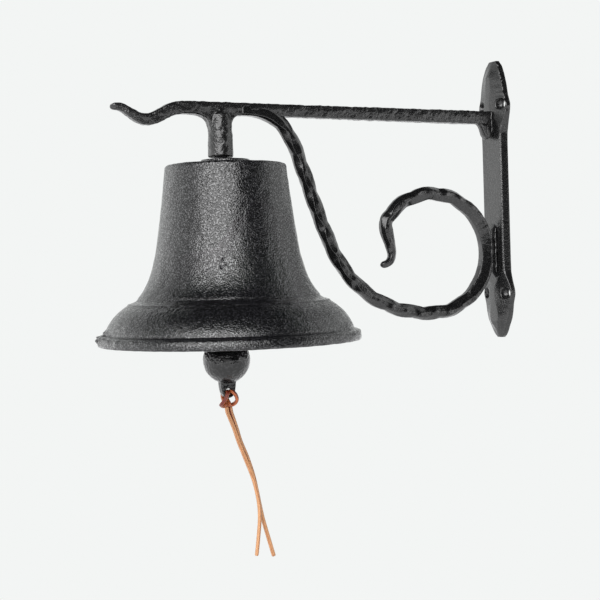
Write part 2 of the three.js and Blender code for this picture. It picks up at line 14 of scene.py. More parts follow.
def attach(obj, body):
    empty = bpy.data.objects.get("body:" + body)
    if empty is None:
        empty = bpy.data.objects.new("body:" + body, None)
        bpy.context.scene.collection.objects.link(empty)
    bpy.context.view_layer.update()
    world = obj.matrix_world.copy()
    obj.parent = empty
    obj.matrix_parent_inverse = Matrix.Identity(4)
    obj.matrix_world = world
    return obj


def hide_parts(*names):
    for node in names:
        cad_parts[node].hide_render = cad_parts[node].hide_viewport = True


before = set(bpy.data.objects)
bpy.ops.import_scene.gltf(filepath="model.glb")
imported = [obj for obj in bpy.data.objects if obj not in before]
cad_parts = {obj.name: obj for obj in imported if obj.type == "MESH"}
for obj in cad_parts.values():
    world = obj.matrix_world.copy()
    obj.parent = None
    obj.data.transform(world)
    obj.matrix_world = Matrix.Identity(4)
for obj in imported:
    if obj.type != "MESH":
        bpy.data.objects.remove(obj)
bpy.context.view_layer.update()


def arithmetic(tree, operation, *given):
    """The output of a new Math node that is given numbers or the outputs of other nodes."""
    node = tree.nodes.new("ShaderNodeMath")
    node.operation = operation
    for socket, value in zip(node.inputs, given):
        if isinstance(value, bpy.types.NodeSocket):
            tree.links.new(value, socket)
        else:
            socket.default_value = value
    return node.outputs[0]


# Studio
# A pale sweep under the hanging bell, with the same pale surround behind it, as for a catalogue picture.
# Four soft boxes light it: one above the camera, a large one to the left, and a narrow one and a small low
# one to the right.
scene = bpy.context.scene
scene.view_settings.view_transform = "Standard"
surround = (0.896, 0.913, 0.905, 1)

world = bpy.data.worlds.new("Pale surround")
scene.world = world
world.use_nodes = True
nodes, links = world.node_tree.nodes, world.node_tree.links
nodes.clear()
seen = nodes.new("ShaderNodeBackground")
seen.inputs["Color"].default_value = surround
fill = nodes.new("ShaderNodeBackground")
fill.inputs["Color"].default_value = (0.95, 0.97, 1, 1)
fill.inputs["Strength"].default_value = 0.35
path = nodes.new("ShaderNodeLightPath")
shown = arithmetic(world.node_tree, "MAXIMUM", path.outputs["Is Camera Ray"], path.outputs["Is Glossy Ray"])
shown = arithmetic(world.node_tree, "MAXIMUM", shown, path.outputs["Is Transmission Ray"])
mix = nodes.new("ShaderNodeMixShader")
links.new(shown, mix.inputs[0])
links.new(fill.outputs[0], mix.inputs[1])
links.new(seen.outputs[0], mix.inputs[2])
links.new(mix.outputs[0], nodes.new("ShaderNodeOutputWorld").inputs["Surface"])

floor_z = -0.33
floor_mesh = bpy.data.meshes.new("Floor")
floor_corners = [(x, y, floor_z) for x, y in ((-4, -4), (4, -4), (4, 4), (-4, 4))]
floor_mesh.from_pydata(floor_corners, [], [(0, 1, 2, 3)])
floor = bpy.data.objects.new("Floor", floor_mesh)
scene.collection.objects.link(floor)
paper = bpy.data.materials.new("Pale paper")
paper.use_nodes = True
nodes, links = paper.node_tree.nodes, paper.node_tree.links
nodes.clear()
sheet = nodes.new("ShaderNodeBsdfDiffuse")
sheet.inputs["Color"].default_value = (0.8, 0.8, 0.8, 1)
glow = nodes.new("ShaderNodeEmission")
glow.inputs["Color"].default_value = surround
path = nodes.new("ShaderNodeLightPath")
mix = nodes.new("ShaderNodeMixShader")
links.new(path.outputs["Is Camera Ray"], mix.inputs[0])
where = nodes.new("ShaderNodeTexCoord")
near = nodes.new("ShaderNodeVectorMath")
near.operation = "DISTANCE"
near.inputs[1].default_value = (-0.3, -0.4, floor_z)
links.new(where.outputs["Object"], near.inputs[0])
lit_patch = nodes.new("ShaderNodeMapRange")
lit_patch.inputs["From Min"].default_value = 0.25
lit_patch.inputs["From Max"].default_value = 2.4
lit_patch.inputs["To Min"].default_value = 0.45
lit_patch.inputs["To Max"].default_value = 0.95
links.new(near.outputs["Value"], lit_patch.inputs["Value"])
shone = arithmetic(paper.node_tree, "MULTIPLY", lit_patch.outputs[0], path.outputs["Is Glossy Ray"])
patch = nodes.new("ShaderNodeEmission")
links.new(shone, patch.inputs["Strength"])
under = nodes.new("ShaderNodeAddShader")
links.new(sheet.outputs[0], under.inputs[0])
links.new(patch.outputs[0], under.inputs[1])
links.new(under.outputs[0], mix.inputs[1])
links.new(glow.outputs[0], mix.inputs[2])
links.new(mix.outputs[0], nodes.new("ShaderNodeOutputMaterial").inputs["Surface"])
floor_mesh.materials.append(paper)

turn, tilt = math.radians(27), math.radians(1.6)
ahead = Vector((math.sin(turn), math.cos(turn), 0))
aside = Vector((math.cos(turn), -math.sin(turn), 0))
upward = Vector((0, 0, 1))
camera = bpy.data.objects.new("Camera", bpy.data.cameras.new("Camera"))
camera.data.sensor_width = 36
camera.data.lens = 72.84
camera.data.shift_x = 0.0027
camera.data.shift_y = -0.0592
camera.data.clip_start = 0.01
camera.matrix_world = Matrix.Translation((-0.5193, -0.7025, -0.0422)) @ Matrix((
    aside * math.cos(tilt) - upward * math.sin(tilt),
    aside * math.sin(tilt) + upward * math.cos(tilt),
    -ahead,
)).transposed().to_4x4()
scene.collection.objects.link(camera)
scene.camera = camera


def soft_box(name, bearing, height, away, size, power):
    """A flat lamp that looks at the bell. bearing is degrees to the right of the camera's side."""
    angle = math.radians(bearing)
    middle = Vector((-0.2, 0, -0.02))
    place = middle + away * (aside * math.sin(angle) - ahead * math.cos(angle)) + Vector((0, 0, height))
    lamp = bpy.data.objects.new(name, bpy.data.lights.new(name, "AREA"))
    lamp.data.shape = "RECTANGLE"
    lamp.data.size, lamp.data.size_y = size
    lamp.data.energy = power
    lamp.visible_camera = False
    facing = (middle - place).to_track_quat("-Z", "Y").to_matrix().to_4x4()
    lamp.matrix_world = Matrix.Translation(place) @ facing
    scene.collection.objects.link(lamp)


soft_box("Key box", -13, 0.62, 1.42, (1.9, 1.2), 39)
soft_box("Left box", -96, -0.05, 1.35, (2.5, 1.2), 7.8)
soft_box("Right box", 108, 0.2, 1.4, (0.5, 1.5), 1.1)
soft_box("Low box", 74, 0, 1.3, (0.6, 0.26), 0.85)


def hood(width, height):
    """A dark shell round the bell, 2.6 m away, over width by height points. Its lower edge lies under the
    floor on the camera's side and rises to 48 degrees, by a smooth step, behind the bell."""
    bearing = np.linspace(-np.pi, np.pi, width)
    off = np.degrees(np.abs(bearing - math.radians(8)))
    t = np.clip((off - 58) / 22, 0, 1)
    low = np.radians(-12 + 60 * t * t * (3 - 2 * t))
    lift = low + (np.pi / 2 - low) * np.linspace(0, 1, height)[:, None]
    side, front = np.sin(bearing) * np.cos(lift), -np.cos(bearing) * np.cos(lift)
    x, y = (side * aside[k] + front * ahead[k] for k in (0, 1))
    return (np.stack([x, y, np.sin(lift)], -1) * 2.6 + (-0.2, 0, 0)).reshape(-1, 3)


hood_width, hood_height = 73, 12
hood_mesh = bpy.data.meshes.new("Dark_hood")
corner = (np.arange(hood_height - 1)[:, None] * hood_width + np.arange(hood_width - 1)).ravel()
hood_faces = np.stack([corner, corner + 1, corner + hood_width + 1, corner + hood_width], -1)
hood_mesh.from_pydata(hood(hood_width, hood_height).tolist(), [], hood_faces.tolist())
dark_hood = bpy.data.objects.new("Dark_hood", hood_mesh)
scene.collection.objects.link(dark_hood)
felt = bpy.data.materials.new("Black felt")
felt.use_nodes = True
felt.node_tree.nodes["Principled BSDF"].inputs["Base Color"].default_value = (0.01, 0.01, 0.01, 1)
felt.node_tree.nodes["Principled BSDF"].inputs["Specular IOR Level"].default_value = 0
hood_mesh.materials.append(felt)
dark_hood.visible_camera = dark_hood.visible_diffuse = dark_hood.visible_shadow = False


# Bracket casting
# Wall plate, arm, scroll and the boss that the bell hangs from, in one sand casting of grey iron. The
# scroll was hammered in the pattern, so its faces are facets that meet in wandering ridges, and the
# whole of it is dipped in semi-gloss black paint.
def bezier(*points, steps=48):
    """A Bezier curve: its control points weighted by Bernstein's polynomials."""
    t = np.linspace(0, 1, steps + 1)[:, None]
    n = len(points) - 1
    return sum(math.comb(n, k) * t**k * (1 - t) ** (n - k) * np.array(p, float) for k, p in enumerate(points))


def eased(low, high, value):
    """0 below low, 1 above high, and a smooth step 3t2 - 2t3 between them."""
    t = np.clip((value - low) / (high - low), 0, 1)
    return t * t * (3 - 2 * t)


def blended(a, b, share):
    """a where share is 0, b where it is 1, in proportion between them."""
    return a + (b - a) * share


def spaced(line, step):
    """Points every step along a line, with its direction and the distance gone at each of them."""
    parts = np.linalg.norm(np.diff(line, axis=0), axis=1)
    line = line[np.concatenate([[True], parts > 1e-9])]
    gone = np.concatenate([[0], np.cumsum(parts[parts > 1e-9])])
    at = np.linspace(0, gone[-1], max(2, round(gone[-1] / step)) + 1)
    points = np.stack([np.interp(at, gone, line[:, k]) for k in range(line.shape[1])], -1)
    along = np.gradient(points, at, axis=0)
    return points, along / np.linalg.norm(along, axis=1, keepdims=True), at


def skin(rings, closed=False):
    """Rings of points as one closed body: quads between neighbours, and a flat cap on each end or, when
    closed, quads from the last ring back to the first. Its faces are turned outwards by its volume."""
    count, corners = rings.shape[:2]
    i, j = np.meshgrid(np.arange(count if closed else count - 1), np.arange(corners), indexing="ij")
    after, beside = (i + 1) % count, (j + 1) % corners
    quads = np.stack([i * corners + j, i * corners + beside,
                      after * corners + beside, after * corners + j], -1).reshape(-1, 4)
    points = rings.reshape(-1, 3)
    a, b, c, d = (points[quads[:, k]] for k in range(4))
    volume = np.einsum("ij,ij->", a, np.cross(b, c)) + np.einsum("ij,ij->", a, np.cross(c, d))
    faces = quads.tolist()
    if not closed:
        low, high = np.arange(corners), (count - 1) * corners + np.arange(corners)
        for rim in (low[::-1], high):
            fan = points[rim]
            volume += np.einsum("j,ij->", fan[0], np.cross(fan[1:-1], fan[2:]))
            faces.append(rim.tolist())
    return points, faces if volume > 0 else [face[::-1] for face in faces]


def piece(name, bodies):
    """A new object from closed bodies given as (points in mm, faces), with its place in its mesh."""
    starts = np.cumsum([0] + [len(points) for points, _ in bodies])
    points = np.concatenate([points for points, _ in bodies]) / 1000
    faces = [[v + int(start) for v in face] for (_, part), start in zip(bodies, starts) for face in part]
    mesh = bpy.data.meshes.new(name)
    mesh.from_pydata(points.tolist(), [], faces)
    mesh.polygons.foreach_set("use_smooth", np.full(len(faces), True))
    made = bpy.data.objects.new(name, mesh)
    scene.collection.objects.link(made)
    return made


def rounded(corner, radius):
    """Rings of corners with each corner cut back along both its sides, by radius at most, and a point on
    the arc between, and two points on every side. Five points come from each corner."""
    side = np.roll(corner, -1, 1) - corner
    length = np.linalg.norm(side, axis=2, keepdims=True)
    side = side / length
    cut = np.minimum(radius, 0.4 * length)
    start = corner - np.roll(side * cut, 1, 1)
    end = corner + side * cut
    onward = np.roll(start, -1, 1)
    arc = (start + end) / 4 + corner / 2
    points = [start, arc, end, end + (onward - end) * 0.34, end + (onward - end) * 0.66]
    return np.stack(points, 2).reshape(len(corner), -1, 2)


def bar(line, section, step=0.8, radius=0.5):
    """A bar of eight corners carried along a line in x and z. section gives, for every place at once,
    how far across the line and how deep along Y each corner lies."""
    centre, along, at = spaced(line, step)
    ring = rounded(np.stack(section(at, centre), -1), radius)
    x = centre[:, :1] - along[:, 1:] * ring[..., 0]
    z = centre[:, 1:] + along[:, :1] * ring[..., 0]
    return skin(np.stack([x, ring[..., 1], z], -1))


def corners_of(outer, inner, depth, face_out, face_in, top, foot):
    """A cast bar's eight corners. Its two wide faces lie at the depth, from face_out to face_in across the
    line, and bevels run from them to the outer side, half as deep as top, and the inner one, as foot."""
    across = np.stack([outer, outer, face_out, face_in, inner, inner, face_in, face_out], -1)
    return across, np.stack([top, -top, -depth, -depth, -foot, foot, depth, depth], -1)


def tip_share(at, length):
    """How much of a bar's section is left at its rounded tip: a quarter ellipse."""
    left = 1 - np.minimum(1, at / length)
    return np.maximum(0.35, np.sqrt(1 - left * left))


def turned_body(profile, x, steps=64):
    """A profile of radius and height turned about the upright line at x."""
    angle = np.linspace(0, 2 * np.pi, steps, endpoint=False)[:, None]
    radius, height = np.asarray(profile, float).T
    return skin(np.stack([x + radius * np.cos(angle), radius * np.sin(angle),
                          np.broadcast_to(height, (steps, len(height)))], -1).transpose(1, 0, 2))


def slab(outline, depth, chamfer):
    """An outline in x and z, as thick as depth along Y, drawn in by a chamfer at both faces."""
    outline = np.asarray(outline, float)
    side = np.roll(outline, -1, 0) - np.roll(outline, 1, 0)
    inward = np.stack([-side[:, 1], side[:, 0]], -1) / np.linalg.norm(side, axis=1, keepdims=True)
    area = np.sum(outline[:, 0] * np.roll(outline[:, 1], -1) - np.roll(outline[:, 0], -1) * outline[:, 1])
    inner = outline + inward * chamfer * np.sign(area)
    levels = ((inner, -depth / 2), (outline, chamfer - depth / 2),
              (outline, depth / 2 - chamfer), (inner, depth / 2))
    return skin(np.stack([np.insert(edge, 1, y, axis=1) for edge, y in levels]))


bolt_x, arm_z = -214, 57.4
plate_height, plate_thickness = 195, 6


def wall_plate():
    """Rings up the plate. Its ends swell round the screw holes into spear heads whose faces meet in a
    ridge, and a facet runs down to each tip. The widths follow a smooth curve through a few heights. The
    camera's side is crusted: two of its corners are moved by amounts drawn every 1.5 mm."""
    shank, head = 11.6, 16.2
    upper = np.array([(0, 0.27), (4, 0.49), (9, 0.62), (17, 0.77), (25, 0.86), (31.2, 1), (36, 0.97)])
    lower = np.array([(0, 0.16), (1.4, 0.3), (4.6, 0.44), (8.8, 0.57), (13, 0.72), (18, 0.81), (24, 0.87),
                      (30.5, 1), (34.5, 0.96)])
    top, foot = plate_height / 2, -plate_height / 2
    heights = np.concatenate([
        foot + lower[:, 0],
        [foot + 40, foot + 46, foot + 54, top - 58, top - 51, top - 44],
        (top - upper[:, 0])[::-1],
    ])
    halves = np.concatenate([
        head * lower[:, 1],
        [shank + 1.9, shank + 0.2, shank, shank, shank + 0.3, shank + 1.9],
        head * upper[::-1, 1],
    ])
    by_tip = np.linspace(0, 3, 9)
    z = np.unique(np.concatenate([np.linspace(foot, top, 261), foot + by_tip, top - by_tip]))
    half = np.interp(z, heights, halves)
    half = np.convolve(np.pad(half, 2, mode="edge"), [0.1, 0.2, 0.4, 0.2, 0.1], "valid")
    near_tip = np.minimum(z - foot, top - z)
    flatness = eased(34, 50, near_tip)
    full = np.minimum(1, near_tip / 11)
    ridge = blended(3, plate_thickness + 1.3 * (1 - flatness), full)
    shoulder = blended(3, plate_thickness - 1.9 * (1 - flatness), full)
    side = np.minimum(4.9, shoulder - 0.4)
    bevel = np.minimum(1.5, 0.3 * half)
    below_top, above_foot = top - z, z - foot
    flat_head = (eased(2, 15, below_top) * (1 - eased(20, 30, below_top)) * 0.14
                 + eased(2, 12, above_foot) * (1 - eased(14, 29, above_foot)) * 0.34)
    face = np.maximum(0.5, (half - bevel) * (0.08 + flat_head + 0.88 * flatness))
    none = np.zeros_like(z)
    x = np.stack([none, none, -side, -shoulder, -ridge, -ridge, -shoulder, -side], -1)
    back, front = half + 0.3 * flatness, half - 0.75 * flatness
    y = np.stack([-back, back, front, half - bevel, face, -face, bevel - half, -front], -1)
    crusted = np.interp(z, (-97, -90, -72, -64, 58, 66, 93, 97), (0.5, 0.3, 0.6, 0, 0, 0.8, 1, 0.7))
    knots = np.arange(-100, 101, 1.5)
    dice = np.random.default_rng(11)
    for corner, reach in ((6, 0.35), (7, 1)):
        x[:, corner] -= crusted * reach * np.interp(z, knots, dice.uniform(-0.7, 0.9, len(knots)))
        y[:, corner] += crusted * reach * np.interp(z, knots, dice.uniform(-0.3, 1.1, len(knots)))
    x = np.minimum(x, 0)
    ring = rounded(np.stack([x, y], -1), 0.35)
    return skin(np.stack([ring[..., 0], ring[..., 1], np.broadcast_to(z[:, None], ring.shape[:2])], -1))


def arm():
    """Level from the plate to the curl, which dips and turns up again at the front."""
    front, curl = -285.8, 48.2
    dip_x, back_x, dip = front + 0.46 * curl, front + curl, arm_z - 8.3
    line = np.concatenate([
        bezier((front, arm_z - 2.1), (front + 7.6, arm_z + 2.8), (dip_x - 9, dip), (dip_x, dip)),
        bezier((dip_x, dip), (dip_x + 9, dip), (back_x - 13, arm_z - 0.2), (back_x, arm_z - 0.2)),
        bezier((back_x, arm_z - 0.2), (1 - plate_thickness, arm_z)),
    ])

    def section(at, centre):
        grown = eased(0, curl, at)
        tip = tip_share(at, 3.1)
        full = blended(4.15, 4.7, eased(0.35 * at[-1], at[-1], at))
        half = tip * blended(2.1, full, np.minimum(1, 0.45 + grown) * grown**0.35)
        depth = tip * blended(0.55, 1, grown**0.4) * 4.2
        return corners_of(half, -half, depth, 0.75 * half, 0.1 * half, 0.74 * depth, 0.82 * depth)

    return bar(line, section)


def beaten(turns):
    """A row of arches from 0 to 1, for faces that the hammer flattened one after another."""
    return np.abs(np.sin(np.pi * turns))


def slanting(turns):
    """A wave of straight flanks, from -1 to 1, for a ridge that wanders from blow to blow."""
    return 4 * np.abs(turns - np.floor(turns + 0.5)) - 1


def scroll():
    """From the inner tip round the loop, along the plate and up to the arm."""
    rx, rz, loop_z, gap = 44.5, 41, -37, 6.7
    loop_x = -plate_thickness - gap - rx
    end = math.radians(143)
    curl = np.array([loop_x + rx * math.cos(end), loop_z + rz * math.sin(end)])
    knee = curl + (1.7, -20)
    foot_z = loop_z - rz
    run_foot = np.array([loop_x - 84, foot_z + 57.7])
    run_top = np.array([bolt_x + 53.8, arm_z - 26.9])
    spring = np.array([bolt_x + 14, arm_z - 0.1])
    angle = np.linspace(end, -np.pi / 2, 160)
    line = np.concatenate([
        bezier(knee + (-8.2, -11.9), knee + (2.2, -11.2), knee + (1.5, -4.2), knee),
        bezier(knee, curl + (-1.4, -11.5), curl + (-2.4, -3), curl),
        np.stack([loop_x + rx * np.cos(angle), loop_z + rz * np.sin(angle)], -1),
        bezier((loop_x, foot_z), (loop_x - 43.5, foot_z), run_foot + (13, -36), run_foot),
        bezier(run_foot, run_foot + (-6.7, 14.6), run_top + (5.8, -14.9), run_top),
        bezier(run_top, run_top + (-6.5, 17.5), spring + (24, 0.5), spring),
    ])

    def section(at, centre):
        grown = eased(0, 34, at)
        tip = tip_share(at, 3)
        joined = eased(at[-1] - 42, at[-1] - 8, at)
        off_plate = -plate_thickness - centre[:, 0]
        by_plate = 1 - eased(gap + 4, gap + 26, off_plate)
        flatness = np.maximum(by_plate, joined)
        marks = (1 - flatness) * grown
        half = tip * blended(2.4, blended(4.65, 4.05, joined), grown)
        depth = (tip * blended(2.4, blended(4.4, 4.1, joined), grown)
                 + 0.3 * marks * (0.6 - beaten(at / 11.5 + 0.3)))
        outer = half + 1.05 * marks * (beaten(at / 21) - 0.64)
        inner = -half - 1.05 * marks * (beaten(at / 21 + 0.4) - 0.64)
        face_out = half * blended(0.2 + 0.5 * beaten(at / 22 + 0.2), 0.8, flatness)
        face_in = blended(blended(-0.16 - 0.2 * slanting(at / 33), 0.4, by_plate), -0.42, joined) * half
        foot = blended(blended(0.32, 0.58, by_plate), 0.72, joined) * depth
        return corners_of(outer, inner, depth, face_out, face_in, blended(0.32, 0.72, flatness) * depth, foot)

    return bar(line, section, 0.7, 0.3)


def arm_foot():
    """The tongue under the arm where it runs into the plate."""
    under, face, length, height = arm_z - 4.7, -plate_thickness, 9.8, 10.4
    points, faces = slab(np.concatenate([
        [(face + 1, arm_z), (face - length - 3, arm_z)],
        bezier((face - length - 3, under + 0.6), (face - length, under), (face - length + 1.6, under - 4),
               steps=6),
        [(face - length + 2.6, under - 0.68 * height), (face - 4.6, under - height),
         (face + 1, under - height + 3.2)],
    ]), 8.4, 0.9)
    points[:, 1] *= 0.6 + 0.045 * (points[:, 0] + 16)
    return points, faces


def loop_land():
    """The land that joins the loop to the plate: as deep as the loop's wide faces where it leaves them,
    with bevels down to the plate. Over the last 10 mm it sinks to a tenth of its height at both ends."""
    foot, top, run_out, root = -58, -16, 10, -5
    z = np.linspace(foot, top, 66)[:, None]
    whole = eased(0, run_out, np.minimum(z - foot, top - z))
    worn = 0.35 * np.sin(z / 2.3) + 0.25 * np.sin(z / 1.1 + 1)
    x = np.array([root, root, -6.2, -8.6, -12, -12, -8.6, -6.2])
    x = x - np.array([0, 0, 0, 2.6, 0, 0, 2.6, 0]) * (1 - whole)
    x = root + (x + worn * np.array([0, 0, 0.3, 1, 0, 0, 1, 0.3]) - root) * blended(0.1, 1, whole)
    y = np.array([2.4, -2.4, -3, -3.7, -3.7, 3.7, 3.7, 3]) * blended(0.6, 1, whole)
    ring = rounded(np.stack([x, y], -1), 0.35)
    return skin(np.stack([ring[..., 0], ring[..., 1], np.broadcast_to(z, ring.shape[:2])], -1))


def cast_line(x, y, foot, top, radius):
    """A thin upright welt on the casting, where two halves of a fillet meet. It wanders a little."""
    z = np.linspace(foot, top, 50)[:, None]
    angle = np.linspace(0, 2 * np.pi, 12, endpoint=False)
    width = radius * np.sqrt(np.maximum(0.05, 1 - ((2 * z - foot - top) / (top - foot)) ** 8))
    wander = 0.18 * np.sin(z / 1.9) + 0.12 * np.sin(z / 0.8 + 2)
    return skin(np.stack([x + wander + width * np.cos(angle), y + width * np.sin(angle),
                          np.broadcast_to(z, (50, 12))], -1))


def boss():
    """The post under the arm, with a domed top inside it."""
    top, foot = 7.6, 8.2
    return turned_body([
        (0.01, 26.5), (foot - 0.6, 26.5), (foot, 27.2), (top, arm_z - 9),
        (0.86 * top, arm_z - 4.4), (0.6 * top, arm_z - 1.4), (0.01, arm_z - 0.4),
    ], bolt_x)


def boss_fillets():
    """The cast fillets between the boss and the arm: long at the front, short on the wall side."""
    under, side = arm_z - 4.15, 7.6
    front, back = bolt_x - side, bolt_x + side
    return slab(np.concatenate([
        bezier((front - 18, under + 0.5), (front - 4, under), (front - 1.6, under - 4), steps=12),
        bezier((front - 1.6, under - 4), (front - 0.3, under - 6.5), (front + 0.4, under - 11), steps=6)[1:],
        bezier((back - 0.4, under - 6), (back + 0.6, under - 0.8), (back + 6, under + 0.5), steps=8),
        [(back + 6, arm_z + 1), (front - 18, arm_z + 1)],
    ]), 7.1, 0.8)


def screw_cut(y, z):
    """What the countersunk hole for a wood screw takes out of the plate, with rounded lips."""
    angle = np.linspace(0, 2 * np.pi, 40, endpoint=False)
    reach = np.array([1, -1.5, -2, -4.8, -5.6, -10])
    radius = np.array([2.7, 2.7, 3.9, 4.05, 4.3, 4.6])
    return skin(np.stack([
        np.broadcast_to(reach[:, None], (len(reach), len(angle))),
        y + radius[:, None] * np.cos(angle),
        z + radius[:, None] * np.sin(angle),
    ], -1))


holes = piece("Bracket_holes", [screw_cut(y, z) for y in (-11.2, 11.2) for z in (-66.3, 66.3)]
              + [turned_body([(0.01, 25), (4.3, 25), (4.3, 45.5), (0.01, 47)], bolt_x, 32)])
holes.hide_render = holes.hide_viewport = True


def cast_in_one(made, voxel, passes):
    """Makes one body of an object's closed bodies: a mesh of voxels, with its steps smoothed off."""
    cast = made.modifiers.new("One casting", "REMESH")
    cast.mode = "VOXEL"
    cast.voxel_size = voxel
    cast.use_smooth_shade = True
    worn = made.modifiers.new("Soft edges", "SMOOTH")
    worn.factor = 0.5
    worn.iterations = passes


def cut_away(made, tool):
    """Takes the tool's bodies out of an object."""
    cut = made.modifiers.new("Holes", "BOOLEAN")
    cut.operation = "DIFFERENCE"
    cut.solver = "MANIFOLD"
    cut.object = tool


def sanded(made, texture, strength, level):
    """Moves an object's surface along its normals: by the strength in metres times texture less level."""
    sand = made.modifiers.new("Sand lumps", "DISPLACE")
    sand.texture = texture
    sand.texture_coords = "LOCAL"
    sand.strength = strength
    sand.mid_level = level


casting = piece("Arm_body", [arm(), boss(), boss_fillets()])
cast_in_one(casting, 0.00052, 3)
cut_away(casting, holes)
plate = piece("Plate_body", [wall_plate()])
cut_away(plate, holes)
hammered = piece("Scroll_body", [
    scroll(), loop_land(), arm_foot(),
    cast_line(-7.9, -4.3, 46.5, 61.5, 0.7), cast_line(-11.2, -3.9, 45, 52, 0.45),
    cast_line(-10.9, -4.35, -51, -21, 0.65), cast_line(-6.9, -3.7, -52, -20, 0.75),
])
lumps = bpy.data.textures.new("Sand lumps", "CLOUDS")
lumps.noise_scale = 0.0035
lumps.noise_depth = 1
sanded(casting, lumps, 0.0007, 0.7)
sanded(hammered, lumps, 0.0003, 0.7)


def set_in_one(name, parts, attribute):
    """One object from the meshes that the parts have under their modifiers, which are then removed. Every
    part comes with a value, which its points carry in the float attribute."""
    view = bpy.context.evaluated_depsgraph_get()
    joined = bpy.data.meshes.new(name)
    points, faces, share, start = [], [], [], 0
    for part, value in parts:
        mesh = part.evaluated_get(view).to_mesh()
        place = np.empty(len(mesh.vertices) * 3, np.float32)
        mesh.vertices.foreach_get("co", place)
        corner = np.empty(len(mesh.loops), np.int32)
        mesh.loops.foreach_get("vertex_index", corner)
        begin = np.empty(len(mesh.polygons), np.int32)
        mesh.polygons.foreach_get("loop_start", begin)
        points.append(place.reshape(-1, 3))
        faces += [face.tolist() for face in np.split(corner + start, begin[1:])]
        share.append(np.full(len(mesh.vertices), value, np.float32))
        start += len(mesh.vertices)
    joined.from_pydata(np.concatenate(points).tolist(), [], faces)
    joined.polygons.foreach_set("use_smooth", np.full(len(faces), True))
    joined.attributes.new(attribute, "FLOAT", "POINT").data.foreach_set("value", np.concatenate(share))
    for part, _ in parts:
        bpy.data.objects.remove(part)
    made = bpy.data.objects.new(name, joined)
    scene.collection.objects.link(made)
    return made


bracket = set_in_one("Bracket", [(casting, 0), (plate, 0.4), (hammered, 1)], "Beaten")
bpy.data.objects.remove(holes)

sand_skin = bpy.data.node_groups.new("Sand skin", "ShaderNodeTree")
for socket in ("Grain size", "Pit depth"):
    sand_skin.interface.new_socket(socket, in_out="INPUT", socket_type="NodeSocketFloat")
for socket in ("Height", "Fleck"):
    sand_skin.interface.new_socket(socket, in_out="OUTPUT", socket_type="NodeSocketFloat")
nodes, links = sand_skin.nodes, sand_skin.links
given = nodes.new("NodeGroupInput")
where = nodes.new("ShaderNodeTexCoord")
scaled = nodes.new("ShaderNodeVectorMath")
scaled.operation = "SCALE"
links.new(where.outputs["Object"], scaled.inputs[0])
links.new(arithmetic(sand_skin, "DIVIDE", 1, given.outputs["Grain size"]), scaled.inputs["Scale"])
grains = nodes.new("ShaderNodeTexNoise")
grains.inputs["Scale"].default_value = 1
grains.inputs["Detail"].default_value = 0.4
grains.inputs["Roughness"].default_value = 0.5
links.new(scaled.outputs[0], grains.inputs["Vector"])
swell = nodes.new("ShaderNodeTexNoise")
swell.inputs["Scale"].default_value = 0.12
swell.inputs["Detail"].default_value = 2
links.new(scaled.outputs[0], swell.inputs["Vector"])
pits = nodes.new("ShaderNodeTexVoronoi")
pits.feature = "SMOOTH_F1"
pits.inputs["Scale"].default_value = 0.55
pits.inputs["Smoothness"].default_value = 0.6
links.new(scaled.outputs[0], pits.inputs["Vector"])
pitted = arithmetic(sand_skin, "MULTIPLY", pits.outputs["Distance"], given.outputs["Pit depth"])
raised = arithmetic(sand_skin, "SUBTRACT", grains.outputs["Fac"], pitted)
waved = arithmetic(sand_skin, "MULTIPLY_ADD", swell.outputs["Fac"], 0.9, raised)
fleck = nodes.new("ShaderNodeMapRange")
fleck.inputs["From Min"].default_value = 0.38
fleck.inputs["From Max"].default_value = 0.66
links.new(grains.outputs["Fac"], fleck.inputs["Value"])
out = nodes.new("NodeGroupOutput")
links.new(waved, out.inputs["Height"])
links.new(fleck.outputs[0], out.inputs["Fleck"])


